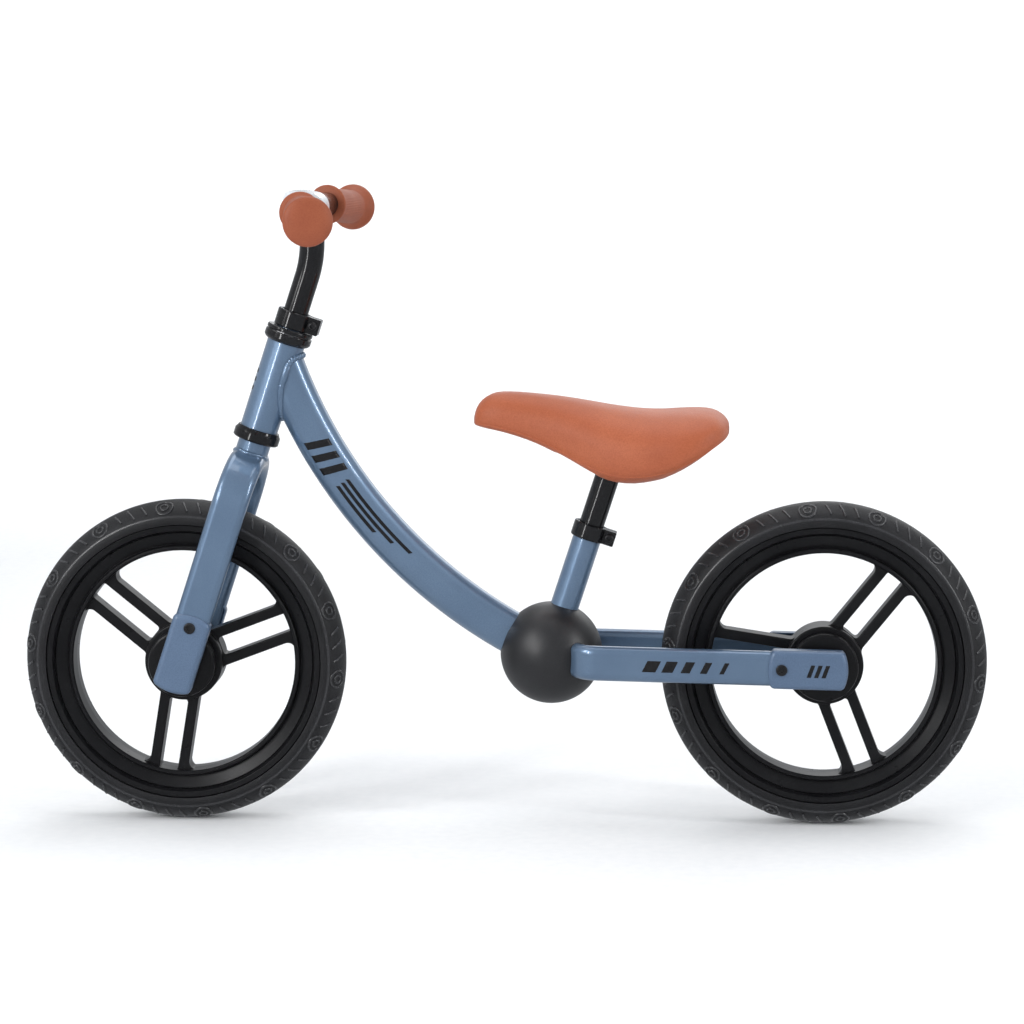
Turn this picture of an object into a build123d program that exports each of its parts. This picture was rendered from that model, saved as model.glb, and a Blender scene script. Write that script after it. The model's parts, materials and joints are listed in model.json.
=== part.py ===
from build123d import *

import os
from math import atan2, cos, degrees, radians, sin, sqrt

os.makedirs("parts", exist_ok=True)

# A 12-inch balance bike, in millimetres. +X points to the rear, -Y to the rider's left and
# +Z up. The origin is on the floor, midway between the two axles.

# Wheels and stance.
WHEEL_R = 145.0
WHEELBASE = 573.0
FRONT = Vector(-WHEELBASE / 2, 0, WHEEL_R)
REAR = Vector(WHEELBASE / 2, 0, WHEEL_R)
TYRE_HALF_W = 23.0
BEAD_R = 124.0
CHANNEL_R = 116.0
CHANNEL_HALF_W = 17.0
RIM_HALF_W = 21.0
OPENING_R = 100.3
HUB_R = 35.0
HUB_HALF_W = 18.0
BOSS_R = 28.5
BOSS_HALF_W = 29.0
HUB_CAP_R = 30.0
HUB_CAP_FACE = 32.5
SPOKE_HALF_DEPTH = 10.0
SPOKE_EDGE = 1.2
PAIR_WIDTH = 35.0
SLOT_WIDTH = 16.6
WINDOW_FILLET = 7.0
FRONT_SPOKE_ANGLE = 20.6
REAR_SPOKE_ANGLE = 51.1

# Steering: heights are measured along the steering axis from the front axle.
TILT = 18.2
STEERER_OD = 25.4
STEERER_TOP = 329.2
NECK_OD = 29.4
NECK_TOP = 208.0
CROWN_TOP = 197.4
HEAD_BOTTOM = 219.6
HEAD_TOP = 300.5
HEAD_OD = 34.0
HEAD_ID = 29.0
LOWER_CUP_OD = 41.6
UPPER_CUP_OD = 42.4
UPPER_CUP_TOP = 309.5
LOCK_RING_OD = 41.6
LOCK_RING_TOP = 314.0
RACE_BOTTOM = 208.0
RACE_TOP = 211.9
CONE_BOTTOM = 308.2
CONE_TOP = 310.0
LOWER_BEARING_AT = 213.9
UPPER_BEARING_AT = 306.2
BAR_CLAMP_OD = 31.6
BAR_CLAMP_BOTTOM = 314.4
BAR_CLAMP_TOP = 329.8
CLAMP_BOLT_AT = 18.6
BAR_CLAMP_EARS = 9.0

# Front fork and rear fork: flat-oval tubes bent to a U.
TUBE_WALL = 1.5
BLADE_WIDE = 31.8
BLADE_THICK = 13.0
BLADE_Y = 48.5
CROWN_BEND = 39.0
ARM_TALL = 31.0
ARM_THICK = 13.6
ARM_Y = 49.0
ARM_BEND = 19.0
ARM_LENGTH = 219.6
ARM_SLOPE = 1.33
ARM_LIFT = 1.5
LEG_END = 22.0
PLATE_IN = 43.0
PLATE_OUT = 48.0
COVER_OUT = 58.0
COVER_IN = 44.0
COVER_WALL = 1.2
# End covers: low end, high end and width along the leg.
FRONT_COVER = (-22.8, 49.8, 34.4)
REAR_COVER = (-20.0, 51.0, 34.5)
COVER_SCREW_AT = 38.4

# Axles.
AXLE_D = 8.0
AXLE_END = 55.5
BEARING_OD = 22.0
BEARING_W = 7.0
RUNNING = 0.05

# Main tube, ball joint and seat tube.
MAIN_CENTRE = Vector(233.1, 0, 567.1)
MAIN_R = 456.5
MAIN_TALL = 38.5
MAIN_THICK = 29.0
BALL = Vector(43.35, 0, 152.75)
BALL_R = 45.7
BALL_WALL = 3.0
CORE_R = 37.0
CORE_HALF_W = 18.0
CORE_BOLTS = [(-12.0, -26.0), (18.0, -24.0), (24.0, 20.0)]
SEAT_AXIS = Vector(41.4, 0, 152.75)
SEAT_TUBE_OD = 25.4
SEAT_TUBE_BOTTOM = -22.0
SEAT_TUBE_TOP = 121.8
SEAT_CLAMP_OD = 31.0
SEAT_CLAMP_BOTTOM = 108.6
SEAT_CLAMP_TOP = 122.4
SEAT_CLAMP_EARS = 8.4

# Posts that slide in the tubes.
POST_D = 22.2
POST_WALL = 1.6
BAR_STEM_BOTTOM = 231.0
SEAT_POST_BOTTOM = 22.0
SEAT_POST_TOP = 186.0

# Handlebar.
BAR = Vector(-168.5, 0, 550.3)
BAR_BEND_Y = 92.0
BAR_BEND_R = 60.0
GRIP_END = Vector(-150.5, 180.0, 544.6)
GRIP_FLANGE_AT = 9.0
STEM_BEND_R = 100.0
BADGE_HALF_W = 22.0
BADGE_R = 13.3

# Saddle.
SADDLE_SECTIONS = [
    # x, top, bottom, width
    (-24.6, 364.0, 359.0, 16.0),
    (-20.0, 377.5, 356.5, 33.0),
    (-5.0, 386.4, 353.0, 46.0),
    (25.0, 385.6, 344.5, 56.0),
    (60.0, 381.4, 327.0, 80.0),
    (95.0, 375.4, 309.0, 112.0),
    (130.0, 371.6, 309.0, 132.0),
    (160.0, 372.4, 319.5, 136.0),
    (185.0, 371.4, 337.0, 120.0),
    (198.0, 366.0, 349.0, 84.0),
    (201.4, 361.5, 354.5, 40.0),
]
PAN_Z = 334.0
PAN_LONG = 95.0
PAN_WIDE = 65.0
PAN_CLEAR = 0.5

BOTTOM = (Align.CENTER, Align.CENTER, Align.MIN)
SIDES = (-1, 1)

STEER_FRAME = Pos(*FRONT) * Rot(0, TILT, 0)
SEAT_FRAME = Pos(*SEAT_AXIS) * Rot(0, TILT, 0)
REAR_FRAME = Pos(*REAR) * Rot(0, ARM_SLOPE - 90, 0)


def save(node, *pieces):
    """Write one node: one solid, or a group of separate identical ones."""
    solids = [solid for piece in pieces for solid in piece.solids()]
    export_step(Compound(solids), f"parts/{node}.step")
    print(node, len(solids), round(sum(solid.volume for solid in solids)))


def rod(diameter, bottom, top):
    """Round bar along local Z."""
    return Pos(0, 0, bottom) * Cylinder(diameter / 2, top - bottom, align=BOTTOM)


def ring(outer, inner, bottom, top):
    """Round tube along local Z."""
    return rod(outer, bottom, top) - rod(inner, bottom - 1, top + 1)


def turned(*points):
    """Solid of revolution about local Z, from (radius, height) points."""
    return revolve(Plane.XZ * make_face(Polyline(*points, close=True)), Axis.Z)


def crosswise(x, z, shape):
    """Put a shape made along local Z across the bike, centred at (x, z)."""
    return Pos(x, 0, z) * Rot(-90, 0, 0) * shape


def both_sides(shape):
    """The shape and its mirror image on the bike's other side."""
    return shape, mirror(shape, Plane.XZ)


def flat_oval(tall, thick, wall=0.0):
    """Stadium section, solid or as a tube wall, long side along local X."""
    section = SlotOverall(tall, thick)
    if wall:
        section -= SlotOverall(tall - 2 * wall, thick - 2 * wall)
    return section


def u_tube(half_gap, base, bend, tall, thick, wall=0.0):
    """Flat-oval tube bent to a U in the local YZ plane, with its legs towards -Z."""
    path = FilletPolyline(
        (0, -half_gap, LEG_END),
        (0, -half_gap, base),
        (0, half_gap, base),
        (0, half_gap, LEG_END),
        radius=bend,
    )
    start = Plane(origin=(0, -half_gap, LEG_END), x_dir=(1, 0, 0), z_dir=(0, 0, 1))
    return sweep(start * flat_oval(tall, thick, wall), path)


# ---------------------------------------------------------------- fasteners


def hex_nut(flats, hole, bottom, top):
    """Plain nut along local Z."""
    height = top - bottom
    prism = extrude(RegularPolygon(flats / 2, 6, major_radius=False), height)
    crown = turned((0, 0), (flats * 0.5, 0), (flats * 0.62, 1.2), (flats * 0.62, height), (0, height))
    return Pos(0, 0, bottom) * ((prism & crown) - rod(hole, -1, height + 1))


def socket_screw(head_d, head_h, shank_d, length, key=0.5):
    """Domed socket screw: the head stands on z = 0 towards +Z, the shank goes to -Z."""
    head = rod(head_d, 0, head_h)
    head = fillet(head.faces().sort_by(Axis.Z)[-1].edges(), head_h * 0.55)
    socket = Pos(0, 0, head_h * 0.35) * extrude(
        RegularPolygon(head_d * key / 2, 6, major_radius=False), head_h
    )
    return head - socket + rod(shank_d, -length, 0.01)


def split_clamp(outer, inner, bottom, top, lug_reach, bolt_at):
    """Collar with a slit and two ears at the rear; the cross bolt runs along local Y."""
    ear_half = 8.0
    slit = 1.8
    collar = rod(outer, bottom, top)
    collar = chamfer(collar.edges().filter_by(GeomType.CIRCLE), 0.8)
    ears = Pos(outer / 4 + lug_reach / 2, 0, (bottom + top) / 2) * Box(
        outer / 2 + lug_reach, 2 * ear_half, top - bottom - 0.8
    )
    ears = fillet(ears.edges().filter_by(Axis.Y).sort_by(Axis.X)[-2:], 1.2)
    body = collar + ears - rod(inner, bottom - 1, top + 1)
    body -= Pos(outer / 2 + lug_reach / 2, 0, (bottom + top) / 2) * Box(
        outer + lug_reach, slit, 2 * (top - bottom)
    )
    bolt_line = Pos(bolt_at, 0, (bottom + top) / 2) * Rot(90, 0, 0)
    return body - bolt_line * rod(5.2, -20, 20), bolt_line, ear_half


def clamp_bolt(bolt_line, ear_half):
    """Cross bolt of a clamp, its head on the rider's left."""
    return bolt_line * Pos(0, 0, ear_half) * socket_screw(8.6, 4.0, 5.0, 2 * ear_half + 4.6, 0.47)


def clamp_nut(bolt_line, ear_half):
    """Nut of a clamp's cross bolt, on the rider's right."""
    return bolt_line * Rot(180, 0, 0) * hex_nut(8.0, 5.0, ear_half, ear_half + 4.0)


# ------------------------------------------------------------------- wheels


def rim_ring():
    """The rim's turned part: bead flanges, channel, side recesses and inner lip."""
    half = [
        (CHANNEL_R, 0),
        (CHANNEL_R, CHANNEL_HALF_W - 1),
        (BEAD_R - 0.8, CHANNEL_HALF_W),
        (BEAD_R, CHANNEL_HALF_W + 0.8),
        (BEAD_R, RIM_HALF_W - 0.8),
        (BEAD_R - 0.8, RIM_HALF_W),
        (118.6, RIM_HALF_W - 0.5),
        (118.0, RIM_HALF_W - 1.6),
        (116.6, 16.0),
        (105.6, 11.5),
        (104.2, 15.4),
        (103.4, 16.0),
        (OPENING_R + 1.0, 16.0),
        (OPENING_R, 15.0),
        (OPENING_R - 0.6, 0),
    ]
    other = [(r, -w) for r, w in reversed(half[1:-1])]
    return turned(*half, *other)


def spider(first_angle):
    """Disc with three double spokes: three wide windows and three slots cut out."""
    spokes = [first_angle + 120 * k for k in range(3)]
    windows = Circle(OPENING_R + 0.4) - Circle(HUB_R)
    for angle in spokes:
        windows -= Rot(0, 0, angle) * Pos(WHEEL_R / 2, 0) * Rectangle(WHEEL_R, PAIR_WIDTH)
    windows = fillet(windows.vertices(), WINDOW_FILLET)
    disc = Circle(OPENING_R + 3) - windows
    slot_start = HUB_R + 0.5
    slot_length = OPENING_R + 0.4 - slot_start
    for angle in spokes:
        slot = Pos(slot_start + slot_length / 2, 0) * RectangleRounded(slot_length, SLOT_WIDTH, 3.0)
        disc -= Rot(0, 0, angle) * slot
    plate = extrude(disc, SPOKE_HALF_DEPTH, both=True)
    faces = plate.faces().sort_by(Axis.Z)
    loops = [wire for face in (faces[0], faces[-1]) for wire in face.inner_wires()]
    return fillet([edge for loop in loops for edge in loop.edges()], SPOKE_EDGE)


def wheel_rim(first_angle):
    """One moulded piece: hub, spokes and rim."""
    hub = rod(2 * HUB_R, -HUB_HALF_W, HUB_HALF_W)
    hub = fillet(hub.edges().filter_by(GeomType.CIRCLE), 1.5)
    boss = rod(2 * BOSS_R, -BOSS_HALF_W, BOSS_HALF_W)
    body = rim_ring() + spider(first_angle) + hub + boss
    body -= rod(18.0, -BOSS_HALF_W - 1, BOSS_HALF_W + 1)
    for side in SIDES:
        seat = sorted((side * (BOSS_HALF_W - BEARING_W), side * (BOSS_HALF_W + 1)))
        body -= rod(BEARING_OD, *seat)
    return body


def wheel_tyre():
    """Solid foam tyre: half-round tread on a foot that fills the rim's channel."""
    foot_w = CHANNEL_HALF_W - 1.2
    shoulder = BEAD_R + 0.2
    mid = 126.5
    tread = [
        Line((CHANNEL_R + 0.1, -foot_w), (CHANNEL_R + 0.1, foot_w)),
        Line((CHANNEL_R + 0.1, foot_w), (shoulder, foot_w + 0.9)),
        Line((shoulder, foot_w + 0.9), (shoulder, TYRE_HALF_W - 0.6)),
        Spline(
            (shoulder, TYRE_HALF_W - 0.6),
            (mid + 6.0, TYRE_HALF_W - 1.2),
            (WHEEL_R - 5.2, 15.0),
            (WHEEL_R, 0),
            (WHEEL_R - 5.2, -15.0),
            (mid + 6.0, -TYRE_HALF_W + 1.2),
            (shoulder, -TYRE_HALF_W + 0.6),
        ),
        Line((shoulder, -TYRE_HALF_W + 0.6), (shoulder, -foot_w - 0.9)),
        Line((shoulder, -foot_w - 0.9), (CHANNEL_R + 0.1, -foot_w)),
    ]
    return revolve(Plane.XZ * make_face(tread), Axis.Z)


def bearing(side):
    """Ball bearing beside the boss, drawn closed by its two shields."""
    inner = AXLE_D / 2 + RUNNING
    outer = BEARING_OD / 2
    low = BOSS_HALF_W - BEARING_W
    high = BOSS_HALF_W
    race = turned(
        (inner, low),
        (outer, low),
        (outer, high),
        (outer - 2.2, high),
        (outer - 2.6, high - 0.5),
        (inner + 2.4, high - 0.5),
        (inner + 2.0, high),
        (inner, high),
    )
    return race if side > 0 else mirror(race, Plane.XY)


def hub_cap(side):
    """Dished cap that snaps over the boss and leaves the axle free."""
    cap = turned(
        (8.5, HUB_CAP_FACE - 1.6),
        (BOSS_R + 0.1, HUB_CAP_FACE - 2.6),
        (BOSS_R + 0.1, HUB_HALF_W + 2.0),
        (HUB_CAP_R, HUB_HALF_W + 2.0),
        (HUB_CAP_R, HUB_CAP_FACE - 2.2),
        (HUB_CAP_R - 0.7, HUB_CAP_FACE - 0.9),
        (HUB_CAP_R - 2.2, HUB_CAP_FACE - 0.5),
        (12.5, HUB_CAP_FACE),
        (8.5, HUB_CAP_FACE),
    )
    return cap if side > 0 else mirror(cap, Plane.XY)


def make_wheel(name, centre, first_angle):
    """Pieces that turn with one wheel."""
    place = Pos(*centre) * Rot(90, 0, 0)
    spacer = ring(12.0, AXLE_D + 0.2, -BOSS_HALF_W + BEARING_W, BOSS_HALF_W - BEARING_W)
    save(f"{name}_rim", place * wheel_rim(first_angle))
    save(f"{name}_tyre", place * wheel_tyre())
    save(f"{name}_bearings", *[place * bearing(side) for side in SIDES])
    save(f"{name}_bearing_spacer", place * spacer)
    save(f"{name}_hub_caps", *[place * hub_cap(side) for side in SIDES])


# --------------------------------------------------------- fork ends, axles


def dropout_plate(side):
    """Steel plate welded into a fork leg's end, with the axle hole at the origin."""
    outline = Pos(0, 12.0) * RectangleRounded(26.0, 56.0, 11.0)
    outline -= Circle(AXLE_D / 2)
    outline -= Pos(0, COVER_SCREW_AT) * Circle(2.5)
    plate = Pos(0, -PLATE_IN, 0) * extrude(Plane.XZ * outline, PLATE_OUT - PLATE_IN)
    return plate if side < 0 else mirror(plate, Plane.XZ)


def screw_hole(diameter):
    """Cutter for the two cover screws, right across the bike."""
    return Pos(0, 0, COVER_SCREW_AT) * Rot(90, 0, 0) * rod(diameter, -80, 80)


def end_cover(extent, leg):
    """Cap over a fork leg's end: flat face, rounded rim and bowed ends."""
    low, high, width = extent
    sag = 4.0

    def outline(inset):
        half = width / 2 - inset
        ends = (low + inset, high - inset)
        bow = [end + way * sag for end, way in zip(ends, (1, -1))]
        face = make_face(
            [
                Line((half, bow[0]), (half, bow[1])),
                ThreePointArc((half, bow[1]), (0, ends[1]), (-half, bow[1])),
                Line((-half, bow[1]), (-half, bow[0])),
                ThreePointArc((-half, bow[0]), (0, ends[0]), (half, bow[0])),
            ]
        )
        return fillet(face.vertices(), 5.0 - inset)

    def block(inset, face_y, start_y, edge):
        solid = Pos(0, -start_y, 0) * extrude(Plane.XZ * outline(inset), face_y - start_y)
        return fillet(solid.faces().sort_by(Axis.Y)[0].edges(), edge)

    shell = block(0.0, COVER_OUT, COVER_IN, 4.5)
    shell -= block(COVER_WALL, COVER_OUT - 1.6, COVER_IN - 1, 3.6)
    return shell - leg - screw_hole(5.4)


def cover_screws(frame):
    """The two screws that hold a pair of end covers."""
    screw = Pos(0, -COVER_OUT, COVER_SCREW_AT) * Rot(90, 0, 0) * socket_screw(10.0, 1.9, 4.96, 12.0)
    return [frame * part for part in both_sides(screw)]


def make_axle(name, centre):
    """Fixed axle of one wheel with its spacers, washers and nuts."""
    across = [Rot(0, 0, 0), Rot(180, 0, 0)]
    spacer = ring(12.0, AXLE_D, BOSS_HALF_W + 0.15, PLATE_IN)
    washer = ring(16.0, AXLE_D, PLATE_OUT, PLATE_OUT + 1.3)
    nut = hex_nut(13.0, AXLE_D, PLATE_OUT + 1.3, PLATE_OUT + 6.3)
    axle = chamfer(rod(AXLE_D, -AXLE_END, AXLE_END).edges().filter_by(GeomType.CIRCLE), 0.8)
    save(f"{name}_axle", crosswise(centre.X, centre.Z, axle))
    save(f"{name}_axle_spacers", *[crosswise(centre.X, centre.Z, a * spacer) for a in across])
    save(f"{name}_axle_washers", *[crosswise(centre.X, centre.Z, a * washer) for a in across])
    save(f"{name}_axle_nuts", *[crosswise(centre.X, centre.Z, a * nut) for a in across])


# ------------------------------------------------------------ fork and head


def make_fork():
    """Steerer, crown and blades, end covers."""
    base = CROWN_TOP - BLADE_THICK / 2
    legs = u_tube(BLADE_Y, base, CROWN_BEND, BLADE_WIDE, BLADE_THICK, TUBE_WALL)
    solid_legs = u_tube(BLADE_Y, base, CROWN_BEND, BLADE_WIDE + 0.1, BLADE_THICK + 0.1)
    blades = legs + [dropout_plate(side) for side in SIDES]
    blades = blades - screw_hole(5.0)
    save("fork_blades", STEER_FRAME * blades)

    steerer = rod(NECK_OD, CROWN_TOP - 0.6, NECK_TOP) + rod(STEERER_OD, NECK_TOP - 1, STEERER_TOP)
    steerer -= solid_legs
    steerer -= rod(POST_D + 2 * RUNNING, CROWN_TOP + 3, STEERER_TOP + 1)
    slit = Pos(STEERER_OD / 2, 0, STEERER_TOP - 12) * Box(STEERER_OD, 1.8, 26)
    save("steerer", STEER_FRAME * (steerer - slit))

    cover = end_cover(FRONT_COVER, solid_legs)
    left, right = both_sides(cover)
    save("fork_cover_left", STEER_FRAME * left)
    save("fork_cover_right", STEER_FRAME * right)
    save("fork_cover_screws", *cover_screws(STEER_FRAME))


def make_headset():
    """Cups pressed into the head tube, bearings, cones and lock ring on the steerer."""
    lower_cup = turned(
        (HEAD_ID / 2, HEAD_BOTTOM + 9.0),
        (HEAD_ID / 2, HEAD_BOTTOM),
        (LOWER_CUP_OD / 2 - 2.2, HEAD_BOTTOM),
        (LOWER_CUP_OD / 2 - 1.2, HEAD_BOTTOM - 2.2),
        (LOWER_CUP_OD / 2, HEAD_BOTTOM - 3.8),
        (LOWER_CUP_OD / 2, HEAD_BOTTOM - 10.2),
        (LOWER_CUP_OD / 2 - 1.2, HEAD_BOTTOM - 11.3),
        (17.6, HEAD_BOTTOM - 11.3),
        (17.6, HEAD_BOTTOM - 2.6),
        (13.2, HEAD_BOTTOM - 2.6),
        (13.2, HEAD_BOTTOM + 9.0),
    )
    upper_cup = turned(
        (HEAD_ID / 2, HEAD_TOP - 9.0),
        (HEAD_ID / 2, HEAD_TOP),
        (HEAD_OD / 2 + 0.6, HEAD_TOP),
        (UPPER_CUP_OD / 2 - 1.2, HEAD_TOP + 1.6),
        (UPPER_CUP_OD / 2, HEAD_TOP + 3.4),
        (UPPER_CUP_OD / 2, UPPER_CUP_TOP - 0.8),
        (UPPER_CUP_OD / 2 - 0.8, UPPER_CUP_TOP),
        (18.0, UPPER_CUP_TOP),
        (18.0, HEAD_TOP + 2.6),
        (13.2, HEAD_TOP + 2.6),
        (13.2, HEAD_TOP - 9.0),
    )
    save("headset_lower_cup", STEER_FRAME * lower_cup)
    save("headset_upper_cup", STEER_FRAME * upper_cup)

    balls = [Rot(0, 0, 24 * k) * Pos(15.4, 0, 0) * Sphere(2.0) for k in range(15)]
    cage = ring(33.4, 29.0, -0.6, 0.6)
    retainer = cage + balls
    save("headset_lower_bearing", STEER_FRAME * Pos(0, 0, LOWER_BEARING_AT) * retainer)
    save("headset_upper_bearing", STEER_FRAME * Pos(0, 0, UPPER_BEARING_AT) * retainer)

    race = turned(
        (STEERER_OD / 2, RACE_BOTTOM),
        (16.6, RACE_BOTTOM),
        (16.6, RACE_TOP - 1.5),
        (15.0, RACE_TOP),
        (STEERER_OD / 2, RACE_TOP),
    )
    cone = turned(
        (STEERER_OD / 2, CONE_BOTTOM),
        (15.0, CONE_BOTTOM),
        (17.2, CONE_BOTTOM + 1.0),
        (17.2, CONE_TOP),
        (STEERER_OD / 2, CONE_TOP),
    )
    save("headset_crown_race", STEER_FRAME * race)
    save("headset_upper_cone", STEER_FRAME * cone)

    nut = rod(LOCK_RING_OD, CONE_TOP, LOCK_RING_TOP)
    nut = fillet(nut.edges().filter_by(GeomType.CIRCLE), 1.4)
    nut -= rod(STEERER_OD, CONE_TOP - 1, LOCK_RING_TOP + 1)
    save("headset_lock_ring", STEER_FRAME * nut)

    clamp, bolt_line, ear = split_clamp(
        BAR_CLAMP_OD, STEERER_OD, BAR_CLAMP_BOTTOM, BAR_CLAMP_TOP, BAR_CLAMP_EARS, CLAMP_BOLT_AT
    )
    save("bar_clamp", STEER_FRAME * clamp)
    save("bar_clamp_bolt", STEER_FRAME * clamp_bolt(bolt_line, ear))
    save("bar_clamp_nut", STEER_FRAME * clamp_nut(bolt_line, ear))


# -------------------------------------------------------------------- frame


def main_tube(grow=0.0, wall=0.0):
    """Flat-oval tube on one arc, from the steering axis to the ball's centre."""
    to_ball = BALL - MAIN_CENTRE
    to_ball = Vector(to_ball.X, 0, to_ball.Z).normalized()
    tangent = Vector(to_ball.Z, 0, -to_ball.X)
    start = MAIN_CENTRE + to_ball * MAIN_R
    section = Plane(origin=start, x_dir=to_ball, z_dir=tangent) * flat_oval(
        MAIN_TALL + 2 * grow, MAIN_THICK + 2 * grow, wall
    )
    from_centre = FRONT - MAIN_CENTRE
    along = Vector(sin(radians(TILT)), 0, cos(radians(TILT)))
    b = from_centre.dot(along)
    c = from_centre.dot(from_centre) - MAIN_R**2
    meet = from_centre + along * (-b - sqrt(b * b - c))
    sweep_angle = degrees(atan2(-to_ball.Z, -to_ball.X) - atan2(-meet.Z, -meet.X))
    return revolve(section, Axis(MAIN_CENTRE, (0, 1, 0)), sweep_angle)


def joint_bolt_lines():
    """Axes of the three bolts through the joint core, clear of every tube."""
    return [Pos(BALL.X + dx, 0, BALL.Z + dz) * Rot(90, 0, 0) for dx, dz in CORE_BOLTS]


def make_frame():
    """Head tube, main tube, seat tube and rear fork."""
    head_solid = STEER_FRAME * rod(HEAD_OD, HEAD_BOTTOM, HEAD_TOP)
    save("head_tube", STEER_FRAME * ring(HEAD_OD, HEAD_ID, HEAD_BOTTOM, HEAD_TOP))

    seat_solid = SEAT_FRAME * rod(SEAT_TUBE_OD, SEAT_TUBE_BOTTOM, SEAT_TUBE_TOP)
    seat_tube = ring(SEAT_TUBE_OD, POST_D + 2 * RUNNING, SEAT_TUBE_BOTTOM, SEAT_TUBE_TOP)
    slit = Pos(SEAT_TUBE_OD / 2, 0, SEAT_TUBE_TOP - 12) * Box(SEAT_TUBE_OD, 1.8, 26)
    save("seat_tube", SEAT_FRAME * (seat_tube - slit))

    long_head = STEER_FRAME * rod(HEAD_OD, HEAD_BOTTOM - 20, HEAD_TOP + 20)
    long_seat = SEAT_FRAME * rod(SEAT_TUBE_OD, SEAT_TUBE_BOTTOM - 30, SEAT_TUBE_TOP)
    tube = main_tube(wall=TUBE_WALL) - long_head - long_seat
    keep = max(tube.solids(), key=lambda solid: solid.volume)
    save("main_tube", keep)

    lift = Pos(ARM_LIFT, 0, 0)
    legs = lift * u_tube(ARM_Y, ARM_LENGTH, ARM_BEND, ARM_TALL, ARM_THICK, TUBE_WALL)
    solid_legs = lift * u_tube(ARM_Y, ARM_LENGTH, ARM_BEND, ARM_TALL + 0.1, ARM_THICK + 0.1)
    rear = legs + [dropout_plate(side) for side in SIDES]
    rear = rear - lift * screw_hole(5.0)
    save("rear_fork", REAR_FRAME * rear - long_seat)

    cover = lift * end_cover(REAR_COVER, Pos(-ARM_LIFT, 0, 0) * solid_legs)
    left, right = both_sides(cover)
    save("rear_cover_left", REAR_FRAME * left)
    save("rear_cover_right", REAR_FRAME * right)
    save("rear_cover_screws", *cover_screws(REAR_FRAME * lift))

    clamp, bolt_line, ear = split_clamp(
        SEAT_CLAMP_OD, SEAT_TUBE_OD, SEAT_CLAMP_BOTTOM, SEAT_CLAMP_TOP, SEAT_CLAMP_EARS, CLAMP_BOLT_AT
    )
    save("seat_clamp", SEAT_FRAME * clamp)
    save("seat_clamp_bolt", SEAT_FRAME * clamp_bolt(bolt_line, ear))
    save("seat_clamp_nut", SEAT_FRAME * clamp_nut(bolt_line, ear))

    make_ball(seat_solid, REAR_FRAME * solid_legs)


def make_ball(seat_solid, fork_solid):
    """Cast core that clamps the tubes together, its bolts, and the two half shells."""
    centre = Pos(*BALL)
    core = centre * (Sphere(CORE_R) & Box(2 * CORE_R, 2 * CORE_HALF_W, 2 * CORE_R))
    core = core - main_tube() - seat_solid - fork_solid
    core -= SEAT_FRAME * rod(SEAT_TUBE_OD, 0, 80)
    screw = Pos(0, 0, CORE_HALF_W) * socket_screw(8.6, 4.0, 5.0, 2 * CORE_HALF_W + 4.2, 0.47)
    nut = Rot(180, 0, 0) * hex_nut(8.0, 5.0, CORE_HALF_W, CORE_HALF_W + 4.0)
    bolts = [line * screw for line in joint_bolt_lines()]
    nuts = [line * nut for line in joint_bolt_lines()]
    for line in joint_bolt_lines():
        core -= line * rod(5.2, -30, 30)
    keep = max(core.solids(), key=lambda solid: solid.volume)
    save("joint_core", keep)
    save("joint_core_bolts", *bolts)
    save("joint_core_nuts", *nuts)

    shell = centre * (Sphere(BALL_R) - Sphere(BALL_R - BALL_WALL))
    shell -= main_tube(grow=0.3)
    shell -= SEAT_FRAME * rod(SEAT_TUBE_OD + 0.6, 0, 80)
    shell -= fork_solid
    half = Pos(BALL.X, -BALL_R - 0.05, BALL.Z) * Box(4 * BALL_R, 2 * BALL_R, 4 * BALL_R)
    left = max((shell & half).solids(), key=lambda solid: solid.volume)
    save("ball_shell_left", left)
    save("ball_shell_right", mirror(left, Plane.XZ))


# ---------------------------------------------------------------- handlebar


def bar_path():
    """Centre line of the crossbar, with its swept-back ends."""
    bend = Vector(BAR.X, BAR_BEND_Y, BAR.Z)
    tip = bend + (GRIP_END - bend) * 0.92
    points = [(tip.X, -tip.Y, tip.Z), (bend.X, -bend.Y, bend.Z), tuple(bend), tuple(tip)]
    return FilletPolyline(*points, radius=BAR_BEND_R), Vector(*points[0])


def grip():
    """Rubber grip for the right-hand end: flange, ribbed barrel zone and wide end disc."""
    bend = Vector(BAR.X, BAR_BEND_Y, BAR.Z)
    along = (GRIP_END - bend).normalized()
    length = (GRIP_END - bend).length
    start = GRIP_FLANGE_AT
    end = length + 4.0
    outline = make_face(
        [
            Line((POST_D / 2, start), (16.9, start)),
            ThreePointArc((16.9, start), (18.0, start + 1.4), (16.9, start + 2.8)),
            Spline(
                (16.9, start + 2.8),
                (14.6, start + 5.5),
                (15.3, start + 28.0),
                (15.0, start + 50.0),
                (15.9, end - 15.0),
                (20.0, end - 9.2),
            ),
            ThreePointArc((20.0, end - 9.2), (21.3, end - 6.0), (19.4, end - 3.0)),
            Spline((19.4, end - 3.0), (11.0, end - 0.7), (0, end), tangents=[(-1, 0.5), (-1, 0)]),
            Line((0, end), (0, length - 4.0)),
            Line((0, length - 4.0), (POST_D / 2, length - 4.0)),
            Line((POST_D / 2, length - 4.0), (POST_D / 2, start)),
        ]
    )
    body = revolve(Plane.XZ * outline, Axis.Z)
    return Plane(origin=bend, x_dir=Vector(0, 0, 1).cross(along), z_dir=along) * body


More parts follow.
